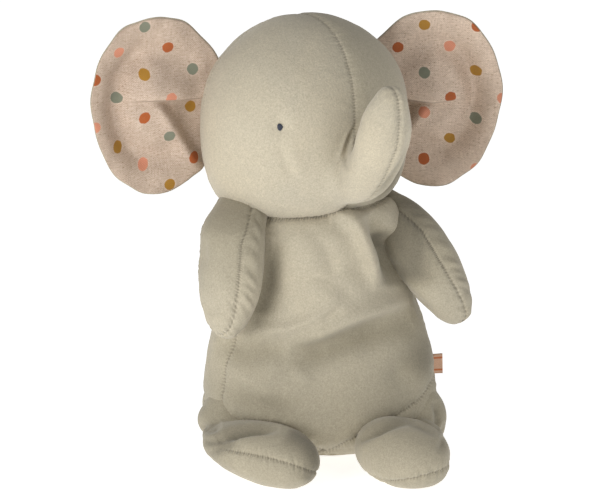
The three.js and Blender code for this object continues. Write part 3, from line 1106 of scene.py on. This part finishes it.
# creases on the show side where the leg bends out of the seat: line, height, width
LEG_FOLDS = {
    "right": [
        ([(-76, 14), (-62, 19), (-46, 22), (-28, 22)], -6.0, 3.2),
        ([(-84, 2), (-70, 10), (-58, 14)], -2.7, 4),
        ([(-90, 22), (-80, 22), (-72, 26)], -3.75, 3.2),
        ([(-88, 12), (-78, 13), (-70, 16)], -2.7, 3.2),
    ],
    "left": [
        ([(24, 10), (42, 20), (58, 27), (72, 28), (90, 18)], -5.25, 3.2),
        ([(88, 42), (90, 30), (90, 18)], -3.0, 3.2),
        ([(98, 26), (94, 16), (90, 4)], -2.4, 3.2),
    ],
}


def leg(name):
    spec = LEGS[name]
    foot, foot_faces = ovoid(24, 44, *FOOT)
    thigh, thigh_faces = ovoid(20, 32, *THIGH)
    shin, shin_faces = ovoid(20, 32, *SHIN)
    cover = join_meshes(f"leg_{name}_cover", [
        (turned_about_z(foot, spec["turn"]) + spec["foot"], foot_faces),
        (thigh + spec["thigh"], thigh_faces),
        (shin + spec["shin"], shin_faces),
    ])
    remesh(cover, 3.2)
    points = points_of(cover)
    along = turned_about_z(points - spec["foot"], -spec["turn"])[:, 1]
    low = clamp(1 - points[:, 2] / 46)
    points[:, 2] += spec["heel"] * clamp((along + 34) / 80) * low
    put_points(cover, points)
    between = (np.array(spec["thigh"]) + np.array(spec["foot"])) / 2
    relax(cover, bell(lengths(points - between), 30), 2)
    points = points_of(cover)
    pins = np.maximum(bell(points[:, 2] - SOLE_HEIGHT, 4) * 0.9, points[:, 2] < 2)
    settle(cover, pins, cap=3)
    subdivide(cover, 2)
    s = Sculpt(cover)
    local = turned_about_z(s.points - spec["foot"], -spec["turn"])
    front = clamp((20 - local[:, 1]) / 20)
    peak, top, drop = spec["seam"]
    level = s.points[:, 2] - np.maximum(top - drop * (s.points[:, 0] - peak) ** 2, 8)
    around = np.arctan2(local[:, 1], local[:, 0]) * 44
    s.seam(level, around, keep=front, depth=1.9, width=1.4, valley=5, pucker=0.5, length=6, seed=0.9)
    s.lump(24, 1.0, 8.0 if name == "left" else 3.5)
    s.lump(11, 0.3, 5.0)
    # painted shade: darker overall and towards the heel
    s.tone = 0.7 + 0.3 * clamp(local[:, 1] / 20)
    # each crease is also painted darker, as shade
    for line, height, width in LEG_FOLDS[name]:
        s.fold(line, height, width)
        s.shade(line, width, -0.2 * height)
    # painted shade on the side of the right foot turned from the light
    if name == "right":
        s.shade([(-22, 24), (-6, 12), (0, -6), (-6, -22)], 11, 1.3, fade=0.1)
    s.done()
    points = points_of(cover)
    points[:, 2] = np.maximum(points[:, 2], 0.1)
    put_points(cover, points)
    nodes = [f"leg_{name}_{part}_panel" for part in ("outer", "inner", "sole")]
    finish_piece(cover, velour, nodes, f"leg_{name}")


for name in LEGS:
    leg(name)


# ----- side label -----

label_low, label_high = node_box("side_label")
label_middle = (label_low + label_high) / 2
SEAM_ALLOWANCE = 3.0


def side_label():
    """A strip of tape folded double, its raw ends in the side seam and its fold outward."""
    thick, length, reach = 0.35, label_high[2] - label_low[2], label_high[0] - label_low[0]
    bend = 0.55
    turns = np.linspace(-math.pi / 2, math.pi / 2, 9)
    fold = [(reach - bend + bend * math.cos(a), bend * math.sin(a)) for a in turns]
    path = spline([(-SEAM_ALLOWANCE, -bend), *fold, (-SEAM_ALLOWANCE, bend)], 3)
    ways = np.gradient(path, axis=0)
    ways /= lengths(ways)[:, None]
    sides = np.stack([ways[:, 1], -ways[:, 0]], 1)
    outer, inner = path + sides * thick / 2, path - sides * thick / 2
    levels = np.linspace(-length / 2, length / 2, 12)
    points, rows = [], len(path)
    for level in levels:
        curl = 0.5 * math.sin(level / length * 2.4)
        for x, y in [*outer, *inner[::-1]]:
            y += label_middle[1] + curl * (x / reach) ** 2
            points.append((label_low[0] + x, y, label_middle[2] + level))
    faces, loop = [], 2 * rows
    for i in range(len(levels) - 1):
        for j in range(loop):
            k = (j + 1) % loop
            faces.append((i * loop + j, i * loop + k, (i + 1) * loop + k, (i + 1) * loop + j))
    end = (len(levels) - 1) * loop
    for j in range(rows - 1):
        faces.append((loop - 1 - j, loop - 2 - j, j + 1, j))
        faces.append((end + j, end + j + 1, end + loop - 2 - j, end + loop - 1 - j))
    made = mesh_object("side_label_tape", points, faces)
    finish_piece(made, (tape_material(), "label_tape"), ["side_label"], "label")


side_label()


# ----- what is hidden inside -----

# size beside the CAD solid, so that each stays inside the visual covers
HIDDEN_SIZES = {
    "body_filling": 0.6, "pellet_bag": 0.4, "neck_seam_ring": 0.8, "head_filling": 0.6,
    "trunk_filling": 0.4, "arm_right_filling": 0.45, "arm_left_filling": 0.45,
    "leg_right_filling": 0.4, "leg_left_filling": 0.4,
}


def dress_hidden():
    """The pieces under the covers: their CAD shapes, made smaller, in proper materials."""
    bag = velour_material("pellet_bag_cotton", (0.62, 0.58, 0.50, 1))
    fabrics = {"pellet_bag": (bag, "bag_cotton"), "neck_seam_ring": velour}
    bodies = frame["record"]["behaviour"]["bodies"]
    body_of = {name: body for body, names in bodies.items() for name in names}
    for name, node in list(frame["nodes"].items()):
        if name not in HIDDEN_SIZES:
            continue
        inner = node.copy()
        inner.name = name + "_loose"
        inner.data = node.data.copy()
        link(inner)
        points = points_of(inner)
        place = middle = (points.min(0) + points.max(0)) / 2
        if name.startswith("leg"):
            place = np.array(LEGS[name.split("_")[1]]["foot"]) + [0, 0, 3]
        elif name.startswith("arm"):
            place = ARMS[name.split("_")[1]]["centre"]
        put_points(inner, place + (points - middle) * HIDDEN_SIZES[name])
        inner.data.materials.clear()
        finish_piece(inner, fabrics.get(name, fibre), [name], body_of[name])


dress_hidden()


# ----- floor and light -----

def make_stage():
    reach, level = 4000, -0.2
    corners = [(x * reach, y * reach, level) for x, y in ((-1, -1), (1, -1), (1, 1), (-1, 1))]
    floor = mesh_object("floor", corners, [(0, 1, 2, 3)])
    n = Nodes("floor_pale")
    place = n.place()
    grain = n.noise(place, 40, 2)
    colour = n.mix(grain, (0.86, 0.86, 0.86, 1), (0.90, 0.90, 0.90, 1))
    floor.data.materials.append(n.finish(
        colour, 0.9, n.bump(grain, 0.0001, 0.1), emission_color=(1, 1, 1, 1), emission_strength=0.72,
    ))
    world = bpy.data.worlds.new("studio")
    world.use_nodes = True
    tree = world.node_tree
    way = tree.nodes.new("ShaderNodeTexCoord").outputs["Generated"]
    height = tree.nodes.new("ShaderNodeSeparateXYZ")
    tree.links.new(way, height.inputs[0])
    span = tree.nodes.new("ShaderNodeMapRange")
    for index, value in enumerate((0.0, 0.9, 0.30, 0.42), 1):
        span.inputs[index].default_value = value
    tree.links.new(height.outputs[2], span.inputs[0])
    tree.links.new(span.outputs[0], tree.nodes["Background"].inputs[1])
    tree.nodes["Background"].inputs[0].default_value = (1, 1, 1, 1)
    bpy.context.scene.world = world
    lamp("key", (-1.05, -1.05, 0.45), (0.8, 0.5), 11.5)
    lamp("fill", (0.6, -1.0, 0.9), (0.7, 0.7), 1.6)
    view = bpy.context.scene.view_settings
    view.view_transform = "Standard"
    view.look = "None"


def lamp(name, place, size, power):
    light = bpy.data.lights.new(name, "AREA")
    light.shape = "RECTANGLE"
    light.size, light.size_y = size
    light.energy = power
    made = bpy.data.objects.new(name, light)
    made.location = place
    aim = Vector((0, 0, 0.2)) - Vector(place)
    made.rotation_mode = "QUATERNION"
    made.rotation_quaternion = aim.to_track_quat("-Z", "Y")
    link(made)


make_stage()
